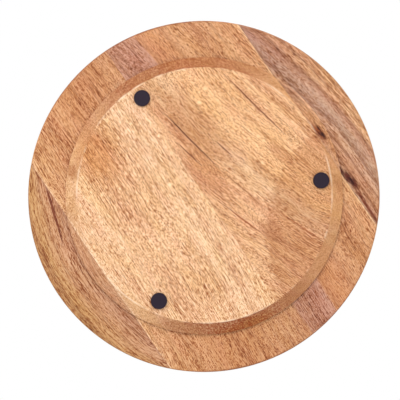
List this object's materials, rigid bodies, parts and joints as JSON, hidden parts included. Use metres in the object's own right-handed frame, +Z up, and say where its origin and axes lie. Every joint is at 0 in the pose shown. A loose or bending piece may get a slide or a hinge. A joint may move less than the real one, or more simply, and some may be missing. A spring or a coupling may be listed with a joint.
{
  "type": "lazy susan turntable",
  "caption": "Round wooden turntable: a flat platter turning on a bevelled base disc with rubber feet, over a hidden ring ball bearing.",
  "frame": {"origin": "on the surface the turntable stands on, under the axis that the platter turns about", "axes": "+Z up along the turning axis; the grain and the glue lines of both discs run along X at rest"},
  "size_m": [0.35, 0.35, 0.035],
  "materials": {
    "platter_wood": "oiled mango wood, satin",
    "base_wood": "oiled mango wood, satin",
    "foot_rubber": "moulded matt",
    "bearing_aluminium": "turned",
    "ball_steel": "polished",
    "cage_nylon": "moulded",
    "screw_steel": "zinc plated"
  },
  "bodies": {
    "base": {"base_board_1": "base_wood", "base_board_2": "base_wood", "base_board_3": "base_wood", "base_board_4": "base_wood", "foot_1": "foot_rubber", "foot_2": "foot_rubber", "foot_3": "foot_rubber", "bearing_outer_ring": "bearing_aluminium", "ball_filler_plug": "bearing_aluminium", "base_screws": "screw_steel", "base_washers": "screw_steel"},
    "platter": {"platter_board_1": "platter_wood", "platter_board_2": "platter_wood", "platter_board_3": "platter_wood", "platter_board_4": "platter_wood", "bearing_inner_ring": "bearing_aluminium", "platter_screws": "screw_steel"},
    "balls": {"bearing_balls": "ball_steel", "ball_cage": "cage_nylon"}
  },
  "joints": [
    {"name": "platter_spin", "type": "hinge", "parent": "base", "child": "platter", "pos_m": [0, 0, 0.026], "axis": [0, 0, 1], "continuous": true},
    {"name": "ball_cage_spin", "type": "hinge", "parent": "base", "child": "balls", "pos_m": [0, 0, 0.01925], "axis": [0, 0, 1], "continuous": true}
  ],
  "couplings": [
    {"joint": "ball_cage_spin", "follows": "platter_spin", "ratio": 0.4884}
  ]
}
